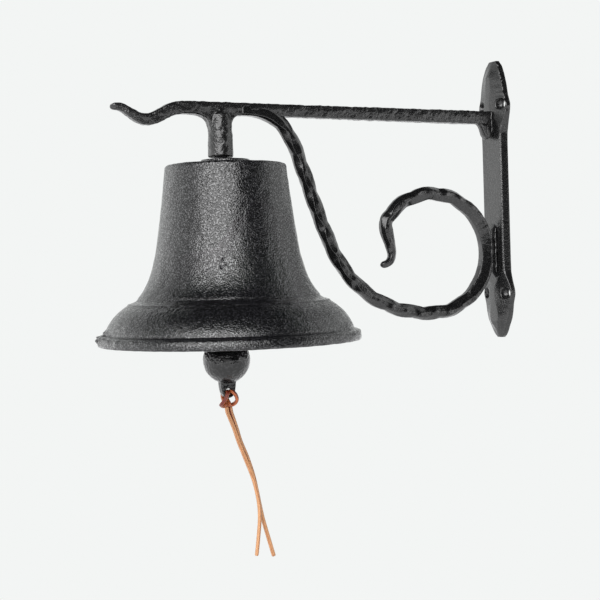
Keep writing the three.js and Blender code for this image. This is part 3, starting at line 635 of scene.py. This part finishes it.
def black_paint(name, colour, painted_sparkle_colour, gloss, grain, depth, relief, shine, sparkle):
    """Black paint over cast iron. Colour goes to a lighter tone, painted sparkle on the grains, and a coat to
    the weight sparkle, by the cube of the grain's fleck. Roughness falls with the fleck from gloss + 0.1 to
    gloss - 0.06, and by 0.07 more where the hammer beat the iron. Relief is the grain's height, less 62 %
    of it there, over relief metres.
    grain is the grains' size in metres, depth that of the pits, and shine the specular level."""
    paint = bpy.data.materials.new(name)
    paint.use_nodes = True
    nodes, links = paint.node_tree.nodes, paint.node_tree.links
    shader = nodes["Principled BSDF"]
    texture = nodes.new("ShaderNodeGroup")
    texture.node_tree = sand_skin
    texture.inputs["Grain size"].default_value = grain
    texture.inputs["Pit depth"].default_value = depth
    # The lighter tone on the rare flecks is painted sparkle on the grains.
    tone = nodes.new("ShaderNodeMixRGB")
    tone.inputs[1].default_value = (*colour, 1)
    tone.inputs[2].default_value = (*painted_sparkle_colour, 1)
    rare = arithmetic(paint.node_tree, "POWER", texture.outputs["Fleck"], 3)
    links.new(rare, tone.inputs[0])
    links.new(tone.outputs[0], shader.inputs["Base Color"])
    rough = nodes.new("ShaderNodeMapRange")
    rough.inputs["To Min"].default_value = gloss + 0.1
    rough.inputs["To Max"].default_value = gloss - 0.06
    links.new(texture.outputs["Fleck"], rough.inputs["Value"])
    beaten_smooth = nodes.new("ShaderNodeAttribute")
    beaten_smooth.attribute_name = "Beaten"
    glossier = arithmetic(paint.node_tree, "MULTIPLY_ADD",
                          beaten_smooth.outputs["Fac"], -0.07, rough.outputs[0])
    links.new(glossier, shader.inputs["Roughness"])
    shader.inputs["Specular IOR Level"].default_value = shine
    shader.inputs["Coat Roughness"].default_value = gloss + 0.1
    shader.inputs["Coat IOR"].default_value = 1.8
    links.new(arithmetic(paint.node_tree, "MULTIPLY", rare, sparkle), shader.inputs["Coat Weight"])
    bump = nodes.new("ShaderNodeBump")
    bump.inputs["Distance"].default_value = relief
    flatter = arithmetic(paint.node_tree, "MULTIPLY_ADD", beaten_smooth.outputs["Fac"], -0.62, 1)
    pressed = arithmetic(paint.node_tree, "MULTIPLY", texture.outputs["Height"], flatter)
    links.new(pressed, bump.inputs["Height"])
    links.new(bump.outputs[0], shader.inputs["Normal"])
    return paint


bracket.data.materials.append(black_paint(
    "Bracket paint", (0.004, 0.004, 0.0042), (0.012, 0.012, 0.0122),
    gloss=0.2, grain=0.0008, depth=0.4, relief=0.00018, shine=0.62, sparkle=0.12))
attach(bracket, "bracket")
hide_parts("bracket_casting")


# Bell casting
# The bell itself: a raised pad on the crown, a tapered body, a flared waist that ends on a rolled ledge,
# a bowl-shaped skirt and a thick lip. Grey iron again, with a coarser grain than the bracket's.
bell_x, crown_z = -211, 22
bell_height, mouth_radius = 112, 83


def bell_profile():
    """Radius and height above the mouth: up the outside, over the crown, and down the inside. Each run is
    a number of steps and a Bezier curve's control points, and starts where the one before it ends."""
    mouth, skirt_foot, skirt_top, waist, crown, wall, bow = mouth_radius, 78.2, 64, 46, 38.6, 4.3, 7.2
    top, ceiling = bell_height, bell_height - 6
    midway = (waist + crown) / 2
    runs = [
        (6, (mouth - 1.2, 0), (mouth, 0), (mouth, 1.6)),
        (10, (mouth, 1.6), (mouth, 3.8), (mouth - 0.4, 5.6), (mouth - 1.5, 6.4)),
        (8, (mouth - 1.5, 6.4), (mouth - 2.9, 7.2), (skirt_foot + 0.7, 6.8), (skirt_foot + 0.1, 7.9)),
        (26, (skirt_foot + 0.1, 7.9), (skirt_foot - 1.4, 13.6), (skirt_top + 7.5, 20.5), (skirt_top, 25)),
        (6, (skirt_top, 25), (skirt_top - 1.1, 25.9), (skirt_top - 2.3, 26), (skirt_top - 3, 26.6)),
        (40, (skirt_top - 3, 26.6), (skirt_top - 9.5, 30.5), (waist + 3.6, 39.5), (waist, 55)),
        (40, (waist, 55), (midway - 0.7, 80), (crown, top - 2.5)),
        (8, (crown, top - 2.5), (crown - 0.2, top), (crown - 2.5, top)),
        (8, (crown - 2.5, top), (16.3, top)),
        (6, (16.3, top), (15.9, top), (15.6, top + 2.6), (15.2, top + 3.2)),
        (8, (15.2, top + 3.2), (14.6, top + 3.2), (7.9, top + 3.2), (7.3, top + 2.8)),
        (5, (7.3, top + 2.8), (7.3, ceiling)),
        (12, (7.3, ceiling), (crown - wall - 4, ceiling)),
        (6, (crown - wall - 4, ceiling), (crown - wall, ceiling), (crown - wall + 0.2, ceiling - 4)),
        (24, (crown - wall + 0.2, ceiling - 4), (midway - wall - 0.7, 80), (waist - wall, 55)),
        (24, (waist - wall, 55), (waist - wall + 3.2, 38), (skirt_top - bow - 6, 25),
         (skirt_top - bow + 3.4, 19)),
        (12, (skirt_top - bow + 3.4, 19), (77.1 - bow, 11.6), (mouth - bow, 0.8)),
        (2, (mouth - bow, 0.8), (mouth - bow + 0.8, 0)),
        (5, (mouth - bow + 0.8, 0), (mouth - 1.2, 0)),
    ]
    lines = [bezier(*points, steps=steps)[1:] for steps, *points in runs]
    return np.concatenate([[runs[0][1]], *lines])[:-1]


def bell_body():
    """The profile turned about the bell's axis. From the mouth to the waist a bead stands 1 mm proud along
    the ledge under a hollow 0.9 mm deep, a groove 0.3 mm deep runs over the lip, and iron that the mould
    let in or left out is added: bell curves in bearing and height, with a bearing in degrees, a height,
    how far it stands out, and a breadth. No lump passes the square that holds the mouth."""
    radius, height = bell_profile().T
    points_to_waist = 98
    outside = np.arange(len(radius)) < points_to_waist
    radius = radius + outside * (1 * np.exp(-((height - 26) / 0.6) ** 2)
                                 - 0.9 * np.exp(-((height - 28) / 1.3) ** 2)
                                 - 0.3 * np.exp(-((height - 7.7) / 0.6) ** 2))
    steps = 360
    angle = np.linspace(0, 2 * np.pi, steps, endpoint=False)
    lump = np.zeros((len(radius), steps))
    rim = [
        (154, 4.6, 1.5, 1.9), (159, 6.4, 2.1, 1.7), (164, 4.2, 1.6, 1.6), (168.5, 7.4, 2.2, 1.6),
        (150, 7.6, 1.9, 1.6), (146, 4.8, 1.3, 1.8), (173, 5, 1.6, 1.4), (178, 7, 1.5, 1.4),
        (140, 6.2, 1, 1.6), (192, 4.8, 0.8, 1.5), (151.5, 2.6, -1.7, 1.1), (156.5, 3.4, -1.9, 1),
        (161.5, 2.2, -1.6, 1.1), (166, 4, -1.8, 1), (171, 2.8, -1.4, 1.1), (148, 5, -1.2, 1),
        (162, 8.6, 1.6, 1.3), (184, 5, 1.1, 1.4), (171, 9, 1.2, 1.2), (156, 9.2, 1.1, 1.3),
        (203, 5.4, 0.6, 1.4), (331, 6.4, 0.5, 1.8), (336, 4, 0.5, 1.6), (215, 3.4, 0.4, 1.6),
        (262, 4.4, 0.35, 1.6), (25, 5, 0.6, 1.8),
    ]
    pock = [(240.6, 52.5, 0.55, 1.2), (243.4, 51.6, -0.8, 1.1),
            (241.6, 48.4, -0.7, 1.3), (244.4, 47.6, 0.5, 1.1)]
    for bearing, at, high, wide in rim + pock:
        off = (angle - math.radians(bearing) + np.pi) % (2 * np.pi) - np.pi
        reach = np.interp(at, (0, 8, 50, bell_height), (mouth_radius, 77, 47, 38.6))
        lump += high * np.exp(-((reach * off[None, :] / wide) ** 2) - ((height[:, None] - at) / wide) ** 2)
    radius = radius[:, None] + outside[:, None] * lump
    side = np.maximum(np.abs(np.sin(angle)), np.abs(np.cos(angle)))
    radius = np.minimum(radius, mouth_radius / side)
    return skin(np.stack([
        bell_x + radius * np.cos(angle),
        radius * np.sin(angle),
        np.broadcast_to(crown_z - bell_height + height[:, None], radius.shape),
    ], -1), closed=True)


bell = piece("Bell", [bell_body()])
rough_cast = bpy.data.textures.new("Bell sand", "CLOUDS")
rough_cast.noise_scale = 0.007
rough_cast.noise_depth = 1
sanded(bell, rough_cast, 0.0004, 0.9)
bell.data.materials.append(black_paint(
    "Bell paint", (0.0025, 0.0025, 0.0028), (0.02, 0.02, 0.0225),
    gloss=0.165, grain=0.00082, depth=0.4, relief=0.00031, shine=0.48, sparkle=0.6))
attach(bell, "bell")
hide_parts("bell_casting")


# Eye bolt, washer, nut and link
# Bought steel parts inside the bell, zinc plated: the bolt screws up into the boss, the nut under the
# washer carries the bell, and the link hangs in the bolt's eye. The bolt's zinc is painted darker, as
# painted shade in the gap between the boss and the crown.
def zinc(name, colour, roughness):
    """Zinc over steel. A faint crystalline cloud takes its colour from 60 % up to all of it, and its
    roughness from 0.12 over the given one to 0.08 under it."""
    metal = bpy.data.materials.new(name)
    metal.use_nodes = True
    nodes, links = metal.node_tree.nodes, metal.node_tree.links
    shader = nodes["Principled BSDF"]
    shader.inputs["Metallic"].default_value = 1
    where = nodes.new("ShaderNodeTexCoord")
    cloud = nodes.new("ShaderNodeTexNoise")
    cloud.inputs["Scale"].default_value = 420
    cloud.inputs["Detail"].default_value = 4
    links.new(where.outputs["Object"], cloud.inputs["Vector"])
    tone = nodes.new("ShaderNodeValToRGB")
    tone.color_ramp.elements[0].position = 0.3
    tone.color_ramp.elements[0].color = (*(0.6 * c for c in colour), 1)
    tone.color_ramp.elements[1].position = 0.7
    tone.color_ramp.elements[1].color = (*colour, 1)
    links.new(cloud.outputs["Fac"], tone.inputs[0])
    links.new(tone.outputs[0], shader.inputs["Base Color"])
    rough = nodes.new("ShaderNodeMapRange")
    rough.inputs["To Min"].default_value = roughness + 0.12
    rough.inputs["To Max"].default_value = roughness - 0.08
    links.new(cloud.outputs["Fac"], rough.inputs["Value"])
    links.new(rough.outputs[0], shader.inputs["Roughness"])
    return metal


plated = zinc("Zinc plate", (0.52, 0.53, 0.55), 0.36)
# Its darker colour is painted shade in the gap between the boss and the bell's crown.
shade_darkened_zinc = zinc("Zinc darkened as painted shade", (0.1, 0.1, 0.105), 0.5)
for name, finish in (("eye_bolt", shade_darkened_zinc), ("crown_washer", plated),
                     ("bell_nut", plated), ("clapper_link", plated)):
    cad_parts[name].data.materials.clear()
    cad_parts[name].data.materials.append(finish)


# Clapper casting
# Ball, stem and eye in one small iron casting, with a flat tab under the ball for the lace. The two
# halves of its mould left a seam round it in the plane of the tab, which is not modelled here.
ball_z, tab_foot, lug_z = -100.8, -125, -19.45
hole_z = tab_foot + 3.7


def clapper_turned():
    """Stem and ball in one profile, the ball a half circle of 15 mm radius."""
    around = np.linspace(-np.pi / 2, np.pi / 2 - 0.3, 40)
    ball = np.stack([15 * np.cos(around), ball_z + 15 * np.sin(around)], -1)
    ball[0, 0] = 0.01
    return turned_body(np.concatenate([
        ball, bezier((4.4, ball_z + 14.5), (4.3, ball_z + 16), (3.75, (ball_z + lug_z) / 2), steps=8),
        [(3.2, lug_z - 6.5), (2.6, lug_z - 4.4), (0.01, lug_z - 4)],
    ]), bolt_x, 72)


def ring_slab(radius, hole, z, depth, chamfer, steps=48):
    """A flat ring with its axis along Y, its outer edge and its hole eased by a chamfer."""
    angle = np.linspace(0, 2 * np.pi, steps, endpoint=False)
    across = np.array([radius - chamfer, radius, radius, radius - chamfer,
                       hole + chamfer, hole, hole, hole + chamfer])
    y = np.array([-1, -1, 1, 1, 1, 1, -1, -1]) * depth / 2
    y += np.array([0, 1, -1, 0, 0, -1, 1, 0]) * chamfer
    return skin(np.stack([bolt_x + across[:, None] * np.cos(angle), np.broadcast_to(y[:, None], (8, steps)),
                          z + across[:, None] * np.sin(angle)], -1), closed=True)


def tab():
    """The flat tab: its sides draw in and round off under the hole."""
    half = 5
    side = bezier((bolt_x + half, tab_foot + 6.5), (bolt_x + half - 0.4, tab_foot + 2.4),
                  (bolt_x + 3, tab_foot), (bolt_x, tab_foot), steps=12)
    other = side[::-1] * (-1, 1) + (2 * bolt_x, 0)
    return slab(np.concatenate([[(bolt_x + half + 0.8, ball_z - 9)], side, other[1:],
                                [(bolt_x - half - 0.8, ball_z - 9)]]), 6, 0.7)


lace_hole = turned_body([(0.01, -5), (3.6, -5), (2.6, -2.4), (2.6, 2.4), (3.6, 5), (0.01, 5)], 0, 40)
lace_hole = (lace_hole[0][:, [0, 2, 1]] * (1, 1, -1) + (bolt_x, 0, hole_z), lace_hole[1])
clapper_hole = piece("Clapper_hole", [lace_hole])
clapper_hole.hide_render = clapper_hole.hide_viewport = True

clapper_body = piece("Clapper_body", [clapper_turned(), ring_slab(6.5, 3, lug_z, 5, 0.8), tab()])
cast_in_one(clapper_body, 0.00042, 4)
sanded(clapper_body, lumps, 0.0003, 0.9)
cut_away(clapper_body, clapper_hole)
clapper = set_in_one("Clapper", [(clapper_body, 0)], "Beaten")
bpy.data.objects.remove(clapper_hole)
clapper.data.materials.append(black_paint(
    "Clapper paint", (0.004, 0.004, 0.0043), (0.01, 0.01, 0.0105),
    gloss=0.12, grain=0.0014, depth=0.5, relief=0.0004, shine=0.5, sparkle=0.12))
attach(clapper, "clapper")
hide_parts("clapper_casting")


# Lace
# One strip cut from a waxed hide, 2.1 mm square, folded in half: its fold goes through the tab's hole and
# the two tails are drawn back through the fold. The grain side is dark red-brown, the cut sides are tan.
# On the knot the hide is darker and redder all over: painted shade.
def smooth_through(points, steps):
    """A centripetal Catmull-Rom curve through the points, worked out span by span as whole arrays."""
    points = np.array(points, float)
    points = np.concatenate([[2 * points[0] - points[1]], points, [2 * points[-1] - points[-2]]])
    knots = np.concatenate([[0], np.cumsum(np.linalg.norm(np.diff(points, axis=0), axis=1) ** 0.5)])
    spans = []
    for k in range(1, len(points) - 2):
        t0, t1, t2, t3 = knots[k - 1:k + 3]
        p0, p1, p2, p3 = points[k - 1:k + 3]
        t = np.linspace(t1, t2, steps, endpoint=False)[:, None]
        a1 = ((t1 - t) * p0 + (t - t0) * p1) / (t1 - t0)
        a2 = ((t2 - t) * p1 + (t - t1) * p2) / (t2 - t1)
        a3 = ((t3 - t) * p2 + (t - t2) * p3) / (t3 - t2)
        b1 = ((t2 - t) * a1 + (t - t0) * a2) / (t2 - t0)
        b2 = ((t3 - t) * a2 + (t - t1) * a3) / (t3 - t1)
        spans.append(((t2 - t) * b1 + (t - t1) * b2) / (t2 - t1))
    return np.concatenate([*spans, points[-2:-1]])


def strip(name, points, width, grain_side, step=0.35):
    """A square strip with eased corners carried along a line. Its grain side keeps facing grain_side, as
    nearly as the line's direction lets it, and U runs once round it from the middle of that side."""
    centre, along, at = spaced(smooth_through(points, 12), step)
    out = np.asarray(grain_side(at / at[-1]), float)
    out = out - along * np.sum(out * along, 1, keepdims=True)
    for _ in range(12):
        out[1:-1] = (out[:-2] + 2 * out[1:-1] + out[2:]) / 4
    out -= along * np.sum(out * along, 1, keepdims=True)
    out /= np.linalg.norm(out, axis=1, keepdims=True)
    beside = np.cross(along, out)
    u = np.arange(24) / 24
    angle = 2 * np.pi * u
    reach = (np.abs(np.cos(angle)) ** 5 + np.abs(np.sin(angle)) ** 5) ** (-1 / 5) * width / 2
    ends = np.minimum(1, 0.72 + 0.28 * np.minimum(at, at[-1] - at) / 0.7)
    rings = centre[:, None] + ends[:, None, None] * (
        out[:, None] * (reach * np.cos(angle))[None, :, None]
        + beside[:, None] * (reach * np.sin(angle))[None, :, None])
    made = piece(name, [skin(rings)])
    count = len(made.data.loops)
    corner = np.empty(count, np.int32)
    made.data.loops.foreach_get("vertex_index", corner)
    starts = np.empty(len(made.data.polygons), np.int32)
    made.data.polygons.foreach_get("loop_start", starts)
    face_of = np.searchsorted(starts, np.arange(count), side="right") - 1
    turn_u = u[corner % 24]
    first = turn_u[starts[face_of]]
    turn_u = np.where(np.abs(turn_u - first) > 0.5, turn_u + np.where(first > 0.5, 1, -1), turn_u)
    uv = np.stack([turn_u, at[corner // 24] / 1000], -1)
    made.data.uv_layers.new(name="Strip").data.foreach_set("uv", uv.astype(np.float32).ravel())
    return made, centre, at[-1]


def hide(name, grain_colour, cut_colour, edge_colour):
    """Leather strip: U near 0 is the grain side, the rest is cut hide with fibres running along it, and
    thin lines along its far corners are darker."""
    leather = bpy.data.materials.new(name)
    leather.use_nodes = True
    nodes, links = leather.node_tree.nodes, leather.node_tree.links
    shader = nodes["Principled BSDF"]
    shader.inputs["Roughness"].default_value = 0.46
    uv = nodes.new("ShaderNodeUVMap")
    uv.uv_map = "Strip"
    apart = nodes.new("ShaderNodeSeparateXYZ")
    links.new(uv.outputs[0], apart.inputs[0])
    round_u = arithmetic(leather.node_tree, "PINGPONG", apart.outputs["X"], 0.5)
    stretched = nodes.new("ShaderNodeMapping")
    stretched.inputs["Scale"].default_value = (9, 260, 1)
    links.new(uv.outputs[0], stretched.inputs["Vector"])
    fibres = nodes.new("ShaderNodeTexNoise")
    fibres.inputs["Scale"].default_value = 1
    fibres.inputs["Detail"].default_value = 5
    links.new(stretched.outputs[0], fibres.inputs["Vector"])
    wander = arithmetic(leather.node_tree, "MULTIPLY_ADD", fibres.outputs["Fac"], 0.09, round_u)
    side = nodes.new("ShaderNodeMapRange")
    side.inputs["From Min"].default_value = 0.155
    side.inputs["From Max"].default_value = 0.185
    links.new(wander, side.inputs["Value"])
    cut = nodes.new("ShaderNodeMixRGB")
    cut.inputs[1].default_value = (*(0.5 * c for c in cut_colour), 1)
    cut.inputs[2].default_value = (*cut_colour, 1)
    links.new(fibres.outputs["Fac"], cut.inputs[0])
    both = nodes.new("ShaderNodeMixRGB")
    both.inputs[1].default_value = (*grain_colour, 1)
    from_edge = arithmetic(leather.node_tree, "SUBTRACT", wander, 0.4)
    # Thin lines along the strip's far corners are darker.
    far_corner_line = nodes.new("ShaderNodeMapRange")
    far_corner_line.inputs["From Min"].default_value = 0.012
    far_corner_line.inputs["From Max"].default_value = 0.045
    far_corner_line.inputs["To Min"].default_value = 0.85
    far_corner_line.inputs["To Max"].default_value = 0
    links.new(arithmetic(leather.node_tree, "ABSOLUTE", from_edge), far_corner_line.inputs["Value"])
    edged = nodes.new("ShaderNodeMixRGB")
    edged.inputs[2].default_value = (*edge_colour, 1)
    links.new(far_corner_line.outputs[0], edged.inputs[0])
    links.new(cut.outputs[0], edged.inputs[1])
    links.new(edged.outputs[0], both.inputs[2])
    links.new(side.outputs[0], both.inputs[0])
    links.new(both.outputs[0], shader.inputs["Base Color"])
    bump = nodes.new("ShaderNodeBump")
    bump.inputs["Strength"].default_value = 0.4
    bump.inputs["Distance"].default_value = 0.0002
    links.new(fibres.outputs["Fac"], bump.inputs["Height"])
    links.new(bump.outputs[0], shader.inputs["Normal"])
    return leather


lace_width = 2.1
beside_in_hole, face_out = 1.2, 4.35
leather = hide("Waxed hide", (0.16, 0.03, 0.012), (0.68, 0.34, 0.155), (0.3, 0.09, 0.03))
# The knot's copy of the hide is darker and redder than the tails': painted shade on the knot.
knot_shaded_hide = hide("Knotted hide", (0.14, 0.013, 0.004), (0.56, 0.15, 0.05), (0.1, 0.01, 0.004))
around_tab = np.array([
    [-1.3, -0.7, -8.9], [-1.3, 0.2, -7.2], [-1.35, 2.6, -5.7], [-1.3, face_out + 0.3, -3.4],
    [-1.25, face_out + 0.4, -1.2], [-beside_in_hole, 2.4, 0.2], [-beside_in_hole, 0, 0.35],
    [-beside_in_hole, -2.4, 0.45], [-1.6, -face_out, 0], [-3.2, -face_out - 0.1, -3.6],
    [-4.7, -2.8, -6.2], [-4.3, 0.6, -7.9], [-2.2, 2.9, -8.9], [0.3, 3.3, -9.1], [2.7, 2.5, -8.8],
    [4.9, 0, -7.3], [5.2, -2.9, -4.9], [3.6, -face_out - 0.1, -1.6], [1.7, -face_out, 0.4],
    [beside_in_hole, -2.4, 0.45], [beside_in_hole, 0, 0.35], [beside_in_hole, 2.4, 0.2],
    [1.25, face_out + 0.4, -1.2], [1.3, face_out + 0.3, -3.4], [1.35, 2.6, -5.7], [1.3, 0.2, -7.2],
    [1.3, -0.7, -8.9],
]) + (bolt_x, 0, hole_z)
tails = {
    "front": np.array([
        [-1.3, -0.9, -9.3], [-0.9, -1.2, -12.6], [0.3, -1.6, -16], [2.8, -2.4, -23], [4.8, -3.6, -30.5],
        [8.6, -5.4, -42], [12.4, -7.4, -53.5], [13.8, -9.2, -61], [14.8, -10.6, -70.2], [14.6, -11.5, -79.4],
        [13.2, -12, -90.5], [11.6, -12, -102.2]]) + (bolt_x, 0, hole_z),
    "back": np.array([
        [1.3, -0.9, -9.3], [1.8, -0.9, -12.6], [2.9, -0.9, -16], [5.4, -0.6, -23.4], [7.6, -0.8, -31.1],
        [11.6, -2.6, -42.7], [14.4, -4.6, -54.1], [15.5, -6.3, -61.5], [16.5, -7.7, -70.9],
        [18, -8.9, -80.3], [20.6, -10.4, -91.7], [23.4, -12.2, -104]]) + (bolt_x, 0, hole_z),
}
hitch_middle = np.array([bolt_x, 0, hole_z - 3.5])
hitch_line = spaced(smooth_through(around_tab, 12), 0.35)[0]
hitch = strip("Lace_hitch", around_tab, lace_width, lambda share: hitch_line - hitch_middle)[0]
hitch.data.materials.append(knot_shaded_hide)
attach(hitch, "lace")
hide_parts("lace_hitch")

grain_above = {"front": np.array((0.9, 0.1, 0.25)), "back": np.array((-0.9, -0.35, 0.2))}
grain_below = {"front": np.array((0.7, 0.7, 0.2)), "back": np.array((-0.3, 0.95, 0.1))}
for name, points in tails.items():
    tail, centre, length = strip(
        f"Lace_tail_{name}", points, lace_width,
        lambda share: blended(grain_above[name], grain_below[name], eased(0.35, 0.75, share)[:, None]))
    tail.data.materials.append(leather)
    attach(tail, "lace")
    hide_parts(f"lace_tail_{name}")
